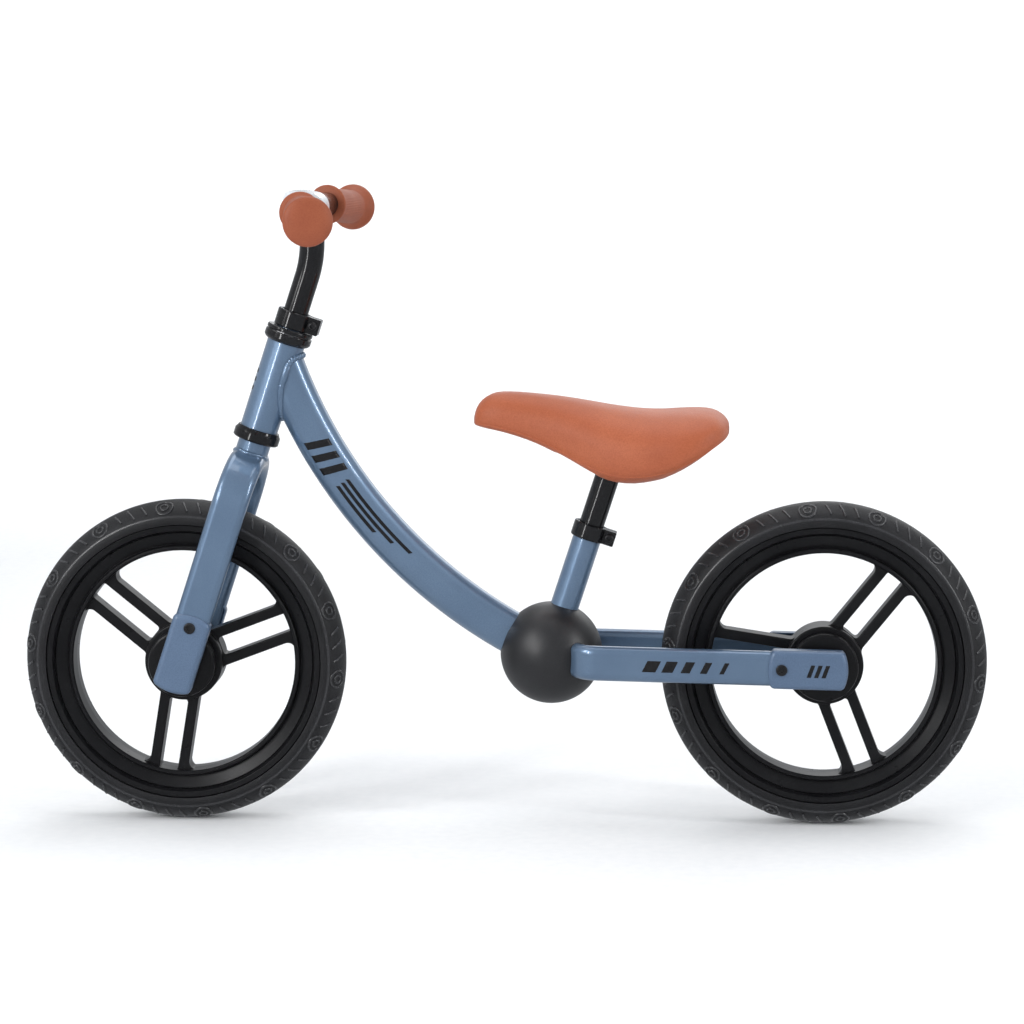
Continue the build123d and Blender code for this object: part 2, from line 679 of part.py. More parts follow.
def make_handlebar():
    """Bent stem, crossbar, grips and the clip-on badge plate."""
    along = Vector(sin(radians(TILT)), 0, cos(radians(TILT)))
    foot = FRONT + along * BAR_STEM_BOTTOM
    knee = FRONT + along * ((BAR.X - FRONT.X) / along.X)
    path = FilletPolyline(tuple(foot), tuple(knee), tuple(BAR), radius=STEM_BEND_R)
    section = Plane(origin=foot, z_dir=along) * Circle(POST_D / 2)
    solid_stem = sweep(section, path)
    bore = sweep(Plane(origin=foot, z_dir=along) * Circle(POST_D / 2 - POST_WALL), path)
    crossing = crosswise(BAR.X, BAR.Z, rod(POST_D, -60, 60))
    save("handlebar_stem", max((solid_stem - bore - crossing).solids(), key=lambda s: s.volume))

    line, tip = bar_path()
    tube = Circle(POST_D / 2) - Circle(POST_D / 2 - POST_WALL)
    end_plane = Plane(origin=tip, z_dir=line % 0)
    save("handlebar_crossbar", sweep(end_plane * tube, line))

    right = grip()
    left = mirror(right, Plane.XZ)
    save("grip_left", left)
    save("grip_right", right)

    x, z = BAR.X, BAR.Z
    outline = make_face(
        [
            ThreePointArc((x, z - BADGE_R), (x + BADGE_R, z), (x + 1.0, z + 13.8)),
            Spline((x + 1.0, z + 13.8), (x - 8.0, z + 15.2), (x - 16.5, z + 15.2)),
            ThreePointArc((x - 16.5, z + 15.2), (x - 21.0, z + 13.4), (x - 22.8, z + 9.0)),
            Line((x - 22.8, z + 9.0), (x - 19.5, z - 6.0)),
            Spline((x - 19.5, z - 6.0), (x - 11.0, z - 12.4), (x, z - BADGE_R)),
        ]
    )
    badge = extrude(Plane.XZ * outline, BADGE_HALF_W, both=True)
    badge -= crosswise(x, z, rod(POST_D, -60, 60))
    badge -= Pos(x, 0, z - 20) * Cylinder(POST_D / 2 + 0.4, 40)
    badge -= Pos(x - 5, 0, z - 16) * Box(8.0, 120, 16)
    save("handlebar_badge", max(badge.solids(), key=lambda s: s.volume))


# ------------------------------------------------------------------- saddle


def make_saddle():
    """Seat post, its foot plug, bracket and bolts, saddle pan and cushion."""
    post = ring(POST_D, POST_D - 2 * POST_WALL, SEAT_POST_BOTTOM, SEAT_POST_TOP)
    save("seat_post", SEAT_FRAME * post)
    plug = rod(POST_D - 2 * POST_WALL, SEAT_POST_BOTTOM, SEAT_POST_BOTTOM + 8)
    plug += rod(POST_D - 0.4, SEAT_POST_BOTTOM - 2, SEAT_POST_BOTTOM)
    save("seat_post_plug", SEAT_FRAME * plug)

    sections = []
    for x, top, bottom, width in SADDLE_SECTIONS:
        plane = Plane(origin=(x, 0, (top + bottom) / 2), x_dir=(0, 1, 0), z_dir=(1, 0, 0))
        sections.append(plane * Ellipse(width / 2, (top - bottom) / 2))
    cushion = loft(sections)
    pocket_x = SEAT_AXIS.X + SEAT_POST_TOP * sin(radians(TILT))
    pocket = Pos(pocket_x, 0, PAN_Z - 34) * Box(PAN_LONG + 2 * PAN_CLEAR, PAN_WIDE + 2 * PAN_CLEAR, 80.0)
    save("saddle_cushion", cushion - pocket)

    pan = Pos(pocket_x, 0, PAN_Z + 4) * Box(PAN_LONG, PAN_WIDE, 4.0)
    pan = fillet(pan.edges().filter_by(Axis.Z), 6.0)
    bracket = Pos(pocket_x, 0, PAN_Z + 0.5) * Box(64.0, 44.0, 3.0)
    bracket = fillet(bracket.edges().filter_by(Axis.Z), 8.0)
    sleeve = SEAT_FRAME * rod(27.0, SEAT_POST_TOP - 8, SEAT_POST_TOP + 6)
    sleeve -= Pos(pocket_x, 0, PAN_Z + 22) * Box(90, 90, 40)
    bracket = bracket + sleeve - SEAT_FRAME * rod(POST_D, SEAT_POST_TOP - 60, SEAT_POST_TOP)
    spots = [(pocket_x + dx, dy) for dx in (-24.0, 24.0) for dy in (-14.0, 14.0)]
    bolts = [Pos(px, py, PAN_Z - 1) * Rot(180, 0, 0) * socket_screw(9.0, 3.4, 5.0, 6.6) for px, py in spots]
    for px, py in spots:
        bracket -= Pos(px, py, PAN_Z) * Cylinder(2.5, 20)
        pan -= Pos(px, py, PAN_Z) * Cylinder(2.5, 20)
    save("saddle_pan", pan)
    save("saddle_bracket", bracket)
    save("saddle_bolts", *bolts)


make_wheel("front", FRONT, FRONT_SPOKE_ANGLE)
make_wheel("rear", REAR, REAR_SPOKE_ANGLE)
make_axle("front", FRONT)
make_axle("rear", REAR)
make_fork()
make_headset()
make_frame()
make_handlebar()
make_saddle()
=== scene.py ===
"""Balance bike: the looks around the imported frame. Metres, +X to the rear, -Y to the rider's left."""

import json
from bisect import bisect_left
from math import atan2, copysign, cos, hypot, pi, radians, sin, sqrt, tau

import bpy
from mathutils import Matrix, Vector
from mathutils.bvhtree import BVHTree


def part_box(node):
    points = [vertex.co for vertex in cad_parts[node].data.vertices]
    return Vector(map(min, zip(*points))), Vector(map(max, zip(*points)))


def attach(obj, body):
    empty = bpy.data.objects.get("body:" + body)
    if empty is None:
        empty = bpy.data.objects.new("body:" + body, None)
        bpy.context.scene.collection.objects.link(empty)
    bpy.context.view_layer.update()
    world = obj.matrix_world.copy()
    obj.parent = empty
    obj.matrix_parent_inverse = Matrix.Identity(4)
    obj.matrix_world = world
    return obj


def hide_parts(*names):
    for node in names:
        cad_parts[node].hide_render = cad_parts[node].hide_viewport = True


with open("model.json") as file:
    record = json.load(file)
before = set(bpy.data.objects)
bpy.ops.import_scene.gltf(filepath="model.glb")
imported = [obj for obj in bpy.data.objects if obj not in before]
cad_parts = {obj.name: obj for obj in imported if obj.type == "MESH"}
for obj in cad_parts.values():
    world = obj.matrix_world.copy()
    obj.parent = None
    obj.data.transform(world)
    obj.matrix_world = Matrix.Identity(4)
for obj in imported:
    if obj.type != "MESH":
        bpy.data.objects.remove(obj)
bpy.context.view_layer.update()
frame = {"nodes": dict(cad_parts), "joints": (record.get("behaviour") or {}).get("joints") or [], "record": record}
NODES = frame["nodes"]

MM = 0.001


def joint(name):
    """A joint's record, by its name."""
    return next(j for j in frame["joints"] if j["name"] == name)


FRONT_AXLE = Vector(joint("front_wheel_spin")["pos_m"])
REAR_AXLE = Vector(joint("rear_wheel_spin")["pos_m"])
STEER_AXIS = Vector(joint("steering")["axis"]).normalized()

# ------------------------------------------------------------------- stage


def aim(obj, target):
    """Turn a light to face a point."""
    away = obj.location - Vector(target)
    obj.rotation_euler = away.to_track_quat("Z", "Y").to_euler()


def softbox(name, place, target, width, height, power):
    """A rectangular studio light that the camera doesn't see."""
    data = bpy.data.lights.new(name, "AREA")
    data.shape = "RECTANGLE"
    data.size = width
    data.size_y = height
    data.energy = power
    light = bpy.data.objects.new(name, data)
    light.location = place
    bpy.context.scene.collection.objects.link(light)
    light.visible_camera = False
    aim(light, target)


CAMERA_PLACE = (0.18944, -3.00399, 0.65456)
CAMERA_TURN = radians(3.45)
CAMERA_DIP = radians(7.11)
CAMERA_ROLL = radians(-0.2)
CAMERA_LENS = 119.4


def make_camera():
    """Three metres off the left side, a little above the bike and looking slightly down on it."""
    data = bpy.data.cameras.new("camera")
    data.lens = CAMERA_LENS
    data.sensor_width = 36.0
    data.clip_end = 50.0
    camera = bpy.data.objects.new("camera", data)
    camera.matrix_world = (
        Matrix.Translation(CAMERA_PLACE)
        @ Matrix.Rotation(CAMERA_TURN, 4, "Z")
        @ Matrix.Rotation(pi / 2 - CAMERA_DIP, 4, "X")
        @ Matrix.Rotation(CAMERA_ROLL, 4, "Z")
    )
    bpy.context.scene.collection.objects.link(camera)
    bpy.context.scene.camera = camera


def make_stage():
    """Pale sweep: a floor that curves up into a backdrop all round."""
    inner, bend, wall = 3.2, 1.6, 6.0
    profile = [(inner, 0.0)]
    for k in range(1, 11):
        rise = radians(9 * k)
        profile.append((inner + bend * sin(rise), bend - bend * cos(rise)))
    profile.append((inner + bend, wall))
    around = 96
    turns = [tau * k / around for k in range(around)]
    verts = [Vector((0, 0, 0))]
    faces = []
    for r, z in profile:
        verts += [Vector((r * cos(turn), r * sin(turn), z)) for turn in turns]
    for k in range(around):
        faces.append((0, 1 + k, 1 + (k + 1) % around))
    for row in range(len(profile) - 1):
        for k in range(around):
            a = 1 + row * around + k
            b = 1 + row * around + (k + 1) % around
            faces.append((a, a + around, b + around, b))
    sweep = mesh_object("studio_sweep", verts, faces, studio_paper())
    sweep.visible_glossy = False

    world = bpy.data.worlds.new("studio")
    world.use_nodes = True
    world.node_tree.nodes["Background"].inputs["Color"].default_value = (0.93, 0.96, 1.0, 1)
    world.node_tree.nodes["Background"].inputs["Strength"].default_value = 0.55
    bpy.context.scene.world = world

    bike = (0, 0, 0.28)
    softbox("overhead", (0.1, 0.5, 2.7), bike, 2.6, 2.2, 31)
    softbox("key_left", (-2.0, -1.5, 1.6), bike, 0.5, 1.6, 21)
    softbox("strip_left", (-1.3, -1.9, 0.95), bike, 0.12, 1.2, 15)
    softbox("strip_right", (2.1, -0.9, 1.05), bike, 0.16, 1.3, 17)
    softbox("rim_back", (0.6, 2.1, 1.3), bike, 2.2, 1.0, 10)
    softbox("backdrop_wash", (0.2, 2.5, 1.8), (0.2, 4.9, 0.7), 4.4, 0.7, 46)


# --------------------------------------------------------------- mesh tools


def mesh_object(name, verts, faces, material):
    """A new smooth-shaded object from points and faces, with one material."""
    mesh = bpy.data.meshes.new(name)
    mesh.from_pydata([tuple(v) for v in verts], [], faces)
    mesh.validate()
    mesh.polygons.foreach_set("use_smooth", [True] * len(mesh.polygons))
    mesh.materials.append(material)
    obj = bpy.data.objects.new(name, mesh)
    bpy.context.scene.collection.objects.link(obj)
    return obj


def sharpen(obj, degrees):
    """Keep edges sharper than an angle crisp under smooth shading."""
    obj.data.set_sharp_from_angle(angle=radians(degrees))


class Build:
    """Collects points and faces of one piece made of many small closed shapes."""

    def __init__(self):
        self.verts = []
        self.faces = []

    def rings(self, rows, closed_run=False, cap=True):
        """Skin equal rings of points; an open run gets its two ends capped."""
        base = len(self.verts)
        count = len(rows[0])
        for row in rows:
            self.verts += row
        along = len(rows) if closed_run else len(rows) - 1
        for i in range(along):
            j = (i + 1) % len(rows)
            for k in range(count):
                m = (k + 1) % count
                self.faces.append((base + i * count + k, base + j * count + k,
                                   base + j * count + m, base + i * count + m))
        if cap and not closed_run:
            self.faces.append(tuple(base + k for k in range(count)))
            last = base + (len(rows) - 1) * count
            self.faces.append(tuple(last + k for k in reversed(range(count))))

    def object(self, name, material):
        """The finished piece."""
        return mesh_object(name, self.verts, self.faces, material)


# --------------------------------------------------------------- materials


def add(tree, kind, inputs=None, **settings):
    """One shader node, with its settings and its inputs or links."""
    node = tree.nodes.new(kind)
    for key, value in settings.items():
        setattr(node, key, value)
    for key, value in (inputs or {}).items():
        if isinstance(value, bpy.types.NodeSocket):
            tree.links.new(value, node.inputs[key])
        else:
            node.inputs[key].default_value = value
    return node


def spread(tree, value, low, high):
    """Map a 0-1 socket to a range."""
    node = add(tree, "ShaderNodeMapRange", {"Value": value, "To Min": low, "To Max": high})
    return node.outputs["Result"]


def noise(tree, where, scale, detail, rough=0.5):
    """A noise texture's value."""
    inputs = {"Vector": where, "Scale": scale, "Detail": detail, "Roughness": rough}
    return add(tree, "ShaderNodeTexNoise", inputs).outputs["Fac"]


def surface(name, dark, light, rough, blotch=22.0, grain=(900.0, 0.00004), cells=None, metallic=0.0,
            coat=0.0, coat_rough=0.05, specular=0.5, gleam=1.0, sheen=0.0, stretch=(1, 1, 1), bevel=0.0004):
    """A finish with drifting colour, uneven gloss, fine surface grain and softened edges.

    grain is (cells per metre, height in metres), cells the pores or pebbles per metre, gleam the
    specular tint, stretch the grain's scale along each axis, and bevel the radius of softened edges.
    """
    mat = bpy.data.materials.new(name)
    mat.use_nodes = True
    tree = mat.node_tree
    bsdf = tree.nodes["Principled BSDF"]
    bsdf.inputs["Metallic"].default_value = metallic
    bsdf.inputs["Coat Weight"].default_value = coat
    bsdf.inputs["Coat Roughness"].default_value = coat_rough
    bsdf.inputs["Specular IOR Level"].default_value = specular
    bsdf.inputs["Specular Tint"].default_value = (gleam, gleam, gleam, 1)
    bsdf.inputs["Sheen Weight"].default_value = sheen

    grain_scale, grain_height = grain
    place = add(tree, "ShaderNodeTexCoord").outputs["Object"]
    where = add(tree, "ShaderNodeMapping", {"Vector": place, "Scale": stretch}).outputs["Vector"]
    drift = noise(tree, place, blotch, 4.0)
    speck = noise(tree, where, grain_scale * 0.6, 2.0)
    mottle = add(tree, "ShaderNodeMath", {0: drift, 1: speck}, operation="MULTIPLY").outputs[0]
    lifted = add(tree, "ShaderNodeMath", {0: mottle, 1: 0.12}, operation="SUBTRACT").outputs[0]
    mixed = spread(tree, lifted, 0.0, 4.0)
    shades = {"Factor": mixed, "A": (*dark, 1), "B": (*light, 1)}
    colour = add(tree, "ShaderNodeMix", shades, data_type="RGBA")
    tree.links.new(colour.outputs["Result"], bsdf.inputs["Base Color"])
    gloss = spread(tree, noise(tree, where, blotch * 3, 5.0, 0.6), rough[0], rough[1])
    tree.links.new(gloss, bsdf.inputs["Roughness"])

    height = noise(tree, where, grain_scale, 4.0, 0.55)
    if cells:
        pattern = {"Vector": where, "Scale": cells}
        voronoi = add(tree, "ShaderNodeTexVoronoi", pattern, feature="DISTANCE_TO_EDGE")
        crease = add(tree, "ShaderNodeMapRange", {"Value": voronoi.outputs["Distance"], "From Max": 0.18})
        raised = add(tree, "ShaderNodeMath", {0: crease.outputs["Result"], 1: height}, operation="ADD")
        height = raised.outputs[0]
    rounded = add(tree, "ShaderNodeBevel", {"Radius": bevel}, samples=4)
    relief = {"Height": height, "Distance": grain_height, "Normal": rounded.outputs["Normal"]}
    bump = add(tree, "ShaderNodeBump", relief)
    bump.inputs["Strength"].default_value = 1.0
    tree.links.new(bump.outputs["Normal"], bsdf.inputs["Normal"])
    if coat:
        tree.links.new(rounded.outputs["Normal"], bsdf.inputs["Coat Normal"])
    return mat


def studio_paper():
    return surface("studio_paper", (0.86, 0.87, 0.88), (0.9, 0.905, 0.91), (0.75, 0.85), 1.5,
                   (160.0, 0.00002), specular=0.1)


def frame_paint():
    """Dusty blue metallic paint under clear lacquer."""
    return surface("frame_paint", (0.104, 0.170, 0.270), (0.140, 0.218, 0.330), (0.28, 0.35), 14.0,
                   (2600.0, 0.000006), metallic=0.5, coat=0.9, coat_rough=0.04, bevel=0.0006)


def cover_paint():
    """Moulded covers in the frame's colour, a touch flatter and less metallic."""
    return surface("cover_paint", (0.076, 0.124, 0.210), (0.100, 0.158, 0.254), (0.30, 0.40), 16.0,
                   (1500.0, 0.000012), metallic=0.12, coat=0.35, coat_rough=0.16, bevel=0.0006)


def black_gloss():
    return surface("black_gloss", (0.004, 0.004, 0.005), (0.009, 0.009, 0.010), (0.12, 0.20), 20.0,
                   (700.0, 0.000003), coat=0.35, coat_rough=0.04, specular=0.18, bevel=0.0006)


def bolt_black():
    return surface("bolt_black", (0.012, 0.012, 0.013), (0.03, 0.03, 0.032), (0.28, 0.42), 90.0,
                   (2400.0, 0.00002), metallic=0.6)


def plated_steel():
    return surface("plated_steel", (0.48, 0.48, 0.50), (0.66, 0.66, 0.68), (0.25, 0.42), 120.0,
                   (900.0, 0.00002), metallic=1.0, stretch=(1, 7, 1))


def cast_alloy():
    return surface("cast_alloy", (0.42, 0.42, 0.44), (0.58, 0.58, 0.60), (0.5, 0.65), 60.0,
                   (500.0, 0.0001), metallic=0.9)


def ball_plastic():
    """Matt moulded shell with a spark-eroded texture."""
    return surface("ball_plastic", (0.010, 0.010, 0.012), (0.017, 0.017, 0.019), (0.36, 0.46), 24.0,
                   (1900.0, 0.00005), specular=0.5)


def rim_plastic():
    return surface("rim_plastic", (0.005, 0.005, 0.006), (0.010, 0.010, 0.011), (0.24, 0.34), 26.0,
                   (1500.0, 0.00001), specular=0.22, gleam=0.8, bevel=0.0009)


def tyre_foam():
    """Closed-cell foam skin: matt, with fine pores."""
    return surface("tyre_foam", (0.008, 0.008, 0.009), (0.016, 0.016, 0.018), (0.40, 0.54), 30.0,
                   (1100.0, 0.00006), cells=900.0, specular=0.4, gleam=0.6)


def tread_skin_painted_highlight():
    """The denser, shinier skin that moulding leaves on the raised marks; its base colour, lighter than the tyre's,
    is a painted highlight on the marks and bead ridges.
    """
    return surface("tread_skin_painted_highlight", (0.018, 0.018, 0.020), (0.034, 0.034, 0.037), (0.20, 0.32), 30.0,
                   (1100.0, 0.00003), specular=0.5)


def grip_rubber():
    return surface("grip_rubber", (0.265, 0.064, 0.028), (0.325, 0.086, 0.037), (0.46, 0.60), 40.0,
                   (1800.0, 0.00003), specular=0.32, sheen=0.03)


def saddle_cover():
    """Smooth synthetic leather with a fine pebble grain."""
    return surface("saddle_cover", (0.350, 0.086, 0.036), (0.440, 0.119, 0.050), (0.40, 0.54), 18.0,
                   (1300.0, 0.00004), cells=950.0, specular=0.3, sheen=0.02)


def badge_plastic():
    return surface("badge_plastic", (0.70, 0.73, 0.77), (0.80, 0.83, 0.86), (0.14, 0.24), 30.0,
                   (900.0, 0.00001), coat=0.5, coat_rough=0.04, bevel=0.0008)


def inner_plastic():
    return surface("inner_plastic", (0.012, 0.012, 0.013), (0.02, 0.02, 0.022), (0.45, 0.6), 40.0,
                   (1200.0, 0.00005))


MATERIALS = {
    "frame_paint": frame_paint(),
    "cover_paint": cover_paint(),
    "black_gloss": black_gloss(),
    "bolt_black": bolt_black(),
    "steel": plated_steel(),
    "core_alloy": cast_alloy(),
    "ball_plastic": ball_plastic(),
    "rim_plastic": rim_plastic(),
    "tyre_foam": tyre_foam(),
    # the tread skin's lighter base colour is a painted highlight
    "tread_skin_painted_highlight": tread_skin_painted_highlight(),
    "grip_rubber": grip_rubber(),
    "saddle_cover": saddle_cover(),
    "badge_plastic": badge_plastic(),
    "inner_plastic": inner_plastic(),
}


def paint_cad_nodes():
    """Give every carried-over CAD node the full material of its slot."""
    for part in frame["record"]["subparts"]:
        for slot in NODES[part["node"]].material_slots:
            slot.material = MATERIALS[part["material_slot"]]


def finish_piece(obj, body):
    """Every new piece rides on a body."""
    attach(obj, body)


# ------------------------------------------------------------------- tread

SECTION_R = 124.0 * MM  # radius of the circle that the tyre's section is drawn about
SECTION_REACH = 21.5 * MM  # from that circle to the tread, on average
TREAD_R = 0.14  # radius of the shoulders, on which the marks' lengths are measured
TREAD_RISE = 0.9 * MM
TREAD_W = 2.3 * MM
# a rib's section as (across, up), in shares of its width and rise
TREAD_RIB = ((-0.5, -0.4), (-0.36, 0.62), (-0.16, 1.0), (0.16, 1.0), (0.36, 0.62), (0.5, -0.4))
SHOULDER = 16.6 * MM  # from the tread's middle to the marks' middle
RING_R = 7.6 * MM
MOTIFS = 14
RIDGE_R = 130.6 * MM
RIDGE_TALL = 3.0 * MM
RIDGE_Y = 19.9 * MM
RIDGE_PROUD = 2.6 * MM


def tyre_section(node, axle):
    """The tyre's outer section as (angle, distance) about its bead circle, read off the CAD mesh."""
    samples = []
    for vert in NODES[node].data.vertices:
        r = hypot(vert.co.x - axle.x, vert.co.z - axle.z) - SECTION_R
        if r > 1 * MM:
            samples.append((atan2(r, vert.co.y), hypot(r, vert.co.y)))
    return sorted(samples)


def tyre_point(axle, section, around, over, lift):
    """A point on the tread: angle round the wheel, distance over the section from its middle."""
    angle = pi / 2 - over / SECTION_REACH
    at = min(max(bisect_left(section, (angle, 0)), 1), len(section) - 1)
    (a0, d0), (a1, d1) = section[at - 1], section[at]
    share = (angle - a0) / (a1 - a0) if a1 > a0 else 0.0
    reach = d0 + (d1 - d0) * share + lift
    r = SECTION_R + reach * sin(angle)
    return Vector((axle.x + r * cos(around), reach * cos(angle), axle.z + r * sin(around)))


def tread_rib(build, axle, section, path, closed):
    """A raised rib along a path of (angle round the wheel, distance over the section)."""
    rows = []
    count = len(path)
    for i, (around, over) in enumerate(path):
        before = path[i - 1] if closed or i else path[i]
        after = path[(i + 1) % count] if closed or i < count - 1 else path[i]
        run = (after[0] - before[0]) * TREAD_R
        rise = after[1] - before[1]
        length = hypot(run, rise)
        side_around = -rise / length / TREAD_R
        side_over = run / length
        row = []
        for side, lift in TREAD_RIB:
            offset = side * TREAD_W
            row.append(tyre_point(axle, section, around + side_around * offset,
                                  over + side_over * offset, lift * TREAD_RISE))
        rows.append(row)
    build.rings(rows, closed_run=closed)


def bead_ridge(build, axle, side):
    """Rounded ridge round the tyre's sidewall, just outside the rim."""
    rows = []
    for n in range(180):
        around = tau * n / 180
        out = Vector((cos(around), 0, sin(around)))
        row = []
        for k in range(12):
            t = tau * k / 12
            r = RIDGE_R + RIDGE_TALL * cos(t)
            row.append(axle + out * r + Vector((0, side * (RIDGE_Y + RIDGE_PROUD * sin(t)), 0)))
        rows.append(row)
    build.rings(rows, closed_run=True)


def make_tread(side_name, body):
    """Moulded marks on both shoulders: plain rings and slanted bars, in turn."""
    axle = FRONT_AXLE if side_name == "front" else REAR_AXLE
    section = tyre_section(f"{side_name}_tyre", axle)
    build = Build()
    round_points = [tau * n / 28 for n in range(28)]
    bar_points = [-1 + n / 4 for n in range(9)]
    for side in (-1, 1):
        mid = side * SHOULDER
        for k in range(MOTIFS):
            start = tau * (k + 0.25 * side) / MOTIFS
            for radius in (RING_R, 0.45 * RING_R):
                ring = [(start + radius * cos(t) / TREAD_R, mid + radius * sin(t)) for t in round_points]
                tread_rib(build, axle, section, ring, True)
            for bar in range(3):
                centre = start + (0.30 + 0.2 * bar) * tau / MOTIFS
                half = (6.6 - 1.0 * abs(bar - 1)) * MM
                lean = 0.45 * side * half / TREAD_R
                line = [(centre + lean * u, mid + side * u * half) for u in bar_points]
                tread_rib(build, axle, section, line, False)
    for side in (-1, 1):
        bead_ridge(build, axle, side)
    # the marks and bead ridges take the tread skin, whose lighter colour is a painted highlight
    piece = build.object(f"{side_name}_tread", MATERIALS["tread_skin_painted_highlight"])
    sharpen(piece, 60)
    finish_piece(piece, body)


# ------------------------------------------------------------------- grips

BAR = Vector((-168.5, 0.0, 550.3)) * MM
BAR_BEND = Vector((-168.5, 92.0, 550.3)) * MM
GRIP_END = Vector((-150.5, 180.0, 544.6)) * MM


def grip_profile():
    """(distance along, radius, rib share) down the grip, in mm; the first and last close it."""
    length = (GRIP_END - BAR_BEND).length / MM
    start = 9.0
    end = length + 4.0
    points = [(start, 11.15, 0), (start, 16.6, 0), (start + 0.35, 17.5, 0), (start + 1.3, 18.0, 0),
              (start + 2.3, 17.6, 0), (start + 3.2, 16.4, 0), (start + 4.4, 15.2, 0)]
    body_start = start + 5.6
    body_end = end - 15.5
    steps = 20
    for n in range(steps + 1):
        share = n / steps
        radius = 14.6 + 0.75 * sin(pi * share) + 0.9 * share**4
        ribbed = min(1.0, 6 * share, 6 * (1 - share))
        points.append((body_start + (body_end - body_start) * share, radius, ribbed))
    points += [(end - 12.8, 16.8, 0), (end - 10.8, 18.4, 0), (end - 9.2, 20.0, 0), (end - 7.8, 20.9, 0),
               (end - 6.0, 21.25, 0), (end - 4.4, 20.95, 0), (end - 3.2, 19.9, 0), (end - 2.3, 18.0, 0)]
    points += [(end - 1.9 * (r / 18.0) ** 2, r, 0) for r in (15.0, 11.0, 7.0, 3.5)]
    points.append((end, 0.02, 0))
    return points


def make_grip(side, name):
    """Rubber grip turned about the bar's end, with fine ribs along its body."""
    flip = Vector((1, side, 1))
    origin = BAR_BEND * flip
    along = (GRIP_END * flip - origin).normalized()
    up = (Vector((0, 0, 1)) - along * along.z).normalized()
    across = along.cross(up)
    ribs, per_rib = 60, 4
    build = Build()
    rows = []
    for distance, radius, ribbed in grip_profile():
        row = []
        for k in range(ribs * per_rib):
            angle = tau * k / (ribs * per_rib)
            groove = 0.34 * ribbed if k % per_rib == 0 else 0.0
            out = (radius - groove) * MM
            row.append(origin + along * distance * MM + (up * cos(angle) + across * sin(angle)) * out)
        rows.append(row)
    build.rings(rows)
    piece = build.object(name + "_rubber", MATERIALS["grip_rubber"])
    sharpen(piece, 55)
    finish_piece(piece, "handlebar")
    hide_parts(name)


# ------------------------------------------------------------------- welds

WELD_SIDES = 10
WELD_RIPPLE = 2.6 * MM


def weld(name, path, body, slot, radius, ripple=0.2):
    """A closed bead along a path of points, with stacked ripples as a weld has."""
    build = Build()
    rows = []
    count = len(path)
    section = [tau * n / WELD_SIDES for n in range(WELD_SIDES)]
    run = 0.0
    for i, point in enumerate(path):
        ahead = path[(i + 1) % count]
        tangent = (ahead - path[i - 1]).normalized()
        side = tangent.orthogonal().normalized()
        if i:
            side = (last_side - tangent * last_side.dot(tangent)).normalized()
        last_side = side
        up = tangent.cross(side)
        swell = radius * (1 - 0.7 * ripple + ripple * abs(sin(pi * run / WELD_RIPPLE)))
        rows.append([point + (side * cos(t) + up * sin(t)) * swell for t in section])
        run += (ahead - point).length
    # the last ring joins the first at whichever of its points has come nearest
    first, final = rows[0], rows[-1]
    turn = min(range(WELD_SIDES), key=lambda n: (first[0] - final[n]).length)
    build.rings(rows, cap=False)
    base = (count - 1) * WELD_SIDES
    for n in range(WELD_SIDES):
        a = base + (n + turn) % WELD_SIDES
        b = base + (n + 1 + turn) % WELD_SIDES
        build.faces.append((a, n, (n + 1) % WELD_SIDES, b))
    piece = build.object(name, MATERIALS[slot])
    finish_piece(piece, body)


TUBE_CENTRE = Vector((233.1, 0.0, 567.1)) * MM
TUBE_R = 456.5 * MM
TUBE_HALF_TALL = 19.25 * MM
TUBE_HALF_THICK = 14.5 * MM
TUBE_FLAT = TUBE_HALF_TALL - TUBE_HALF_THICK
HEAD_TUBE_R = 17.0 * MM
HEAD_TUBE_MIDDLE = 262.0 * MM
FORE = Vector((STEER_AXIS.z, 0, -STEER_AXIS.x))  # square to the steering axis, in the bike's middle plane


def tube_point(angle, over):
    """A point on the main tube: angle about its arc's centre, and round its section from the outside."""
    r = TUBE_R + TUBE_HALF_THICK * cos(over) + copysign(TUBE_FLAT, cos(over))
    y = -TUBE_HALF_THICK * sin(over)
    return Vector((TUBE_CENTRE.x + r * cos(angle), y, TUBE_CENTRE.z + r * sin(angle)))


def head_distance(point):
    """Distance of a point from the steering axis."""
    from_axle = point - FRONT_AXLE
    return (from_axle - STEER_AXIS * from_axle.dot(STEER_AXIS)).length


def make_head_weld():
    """Bead where the main tube meets the head tube, its line found by halving along the tube."""
    path = []
    for n in range(160):
        over = tau * n / 160
        inside, outside = radians(196), radians(222)  # both sides of the head tube's skin
        for _ in range(28):
            angle = (inside + outside) / 2
            if head_distance(tube_point(angle, over)) < HEAD_TUBE_R:
                inside = angle
            else:
                outside = angle
        path.append(tube_point((inside + outside) / 2, over))
    weld("head_weld", path, "frame", "frame_paint", 3.0 * MM, 0.3)


def make_crown_weld():
    """Bead where the steerer stands on the fork crown."""
    neck_r, top, flat, side_r = 14.7 * MM, 197.4 * MM, 9.4 * MM, 6.5 * MM
    path = []
    for n in range(120):
        t = tau * n / 120
        x = neck_r * cos(t)
        y = neck_r * sin(t)
        beyond = max(0.0, abs(x) - flat)
        drop = side_r - sqrt(max(0.0, side_r**2 - beyond**2))
        path.append(FRONT_AXLE + FORE * x + Vector((0, y, 0)) + STEER_AXIS * (top - drop))
    weld("crown_weld", path, "fork", "frame_paint", 1.9 * MM)


def make_bar_weld():
    """Bead where the stem meets the crossbar."""
    r = 11.1 * MM
    path = []
    for n in range(96):
        t = tau * n / 96
        x = r * cos(t)
        path.append(BAR + Vector((x, r * sin(t), -sqrt(max(0.0, r * r - x * x)))))
    weld("bar_weld", path, "handlebar", "black_gloss", 1.3 * MM)


# ---------------------------------------------------------------- graphics

FILM_PROUD = 0.12 * MM
FILM_SUNK = 0.2 * MM
ARM_FALL = 0.0232  # how much the rear fork's arms drop towards the axle
ARM_STRIPES = Vector((0.128, 0, 0.1497))
COVER_STRIPES = Vector((0.272, 0, 0.1465))


